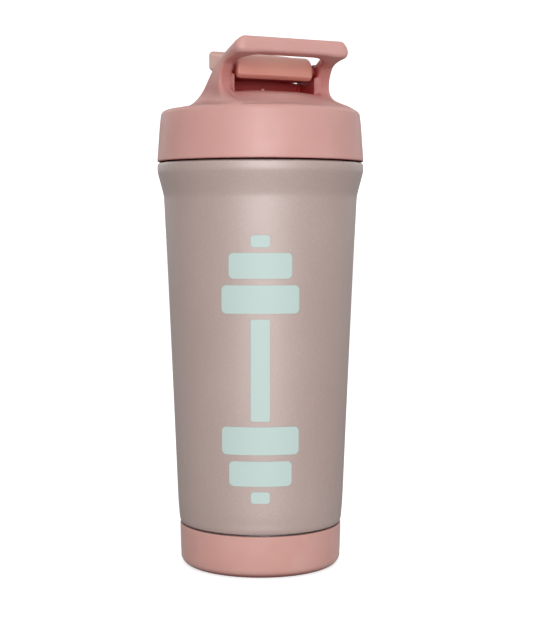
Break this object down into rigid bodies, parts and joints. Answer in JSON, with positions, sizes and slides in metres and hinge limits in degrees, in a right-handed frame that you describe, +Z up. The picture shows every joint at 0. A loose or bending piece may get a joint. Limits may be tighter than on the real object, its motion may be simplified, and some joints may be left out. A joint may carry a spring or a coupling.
{
  "type": "protein shaker bottle",
  "caption": "Insulated steel shaker bottle with a screw lid, a finger loop, a flip cap over its spout, a clip-in strainer and a soft base boot.",
  "frame": {"origin": "on the bottle's axis, in the plane that it stands on", "axes": "+Z up along the bottle's axis, +Y from the axis towards the drinking spout and the flip cap's thumb end, -Y towards the carry loop's cross bar, +X along the flip cap's hinge"},
  "size_m": [0.094, 0.094, 0.2376],
  "materials": {
    "powder_coat": "fine textured powder coat, dusty pink",
    "steel": "brushed and electropolished",
    "solder": "dull metal",
    "boot_silicone": "satin pink silicone",
    "seal_silicone": "translucent white silicone",
    "lid_plastic": "satin moulded pink polypropylene",
    "strainer_plastic": "satin moulded pink polypropylene",
    "cap_plastic": "satin moulded pink polypropylene"
  },
  "bodies": {
    "bottle": {"outer_shell": "powder_coat", "inner_liner": "steel", "base_disc": "steel", "vacuum_seal": "solder", "getter": "solder"},
    "boot": {"base_boot": "boot_silicone"},
    "seal": {"sealing_ring": "seal_silicone"},
    "lid": {"lid_body": "lid_plastic"},
    "strainer": {"strainer": "strainer_plastic"},
    "cap": {"flip_cap": "cap_plastic", "spout_stopper": "seal_silicone"}
  },
  "joints": [
    {"name": "lid_lift", "type": "slide", "parent": "bottle", "child": "seal", "axis": [0, 0, 1], "range_m": [0, 0.02001]},
    {"name": "lid_turn", "type": "hinge", "parent": "seal", "child": "lid", "pos_m": [0, 0, 0.2], "axis": [0, 0, 1], "range_deg": [0, 720]},
    {"name": "flip_cap_hinge", "type": "hinge", "parent": "lid", "child": "cap", "pos_m": [0, -0.0095, 0.2256], "axis": [1, 0, 0], "range_deg": [0, 112]},
    {"name": "strainer_pull", "type": "slide", "parent": "lid", "child": "strainer", "axis": [0, 0, -1], "range_m": [0, 0.03]},
    {"name": "boot_pull", "type": "slide", "parent": "bottle", "child": "boot", "axis": [0, 0, -1], "range_m": [0, 0.025]}
  ],
  "couplings": [
    {"joint": "lid_lift", "follows": "lid_turn", "m_per_rad": 0.0015915}
  ]
}
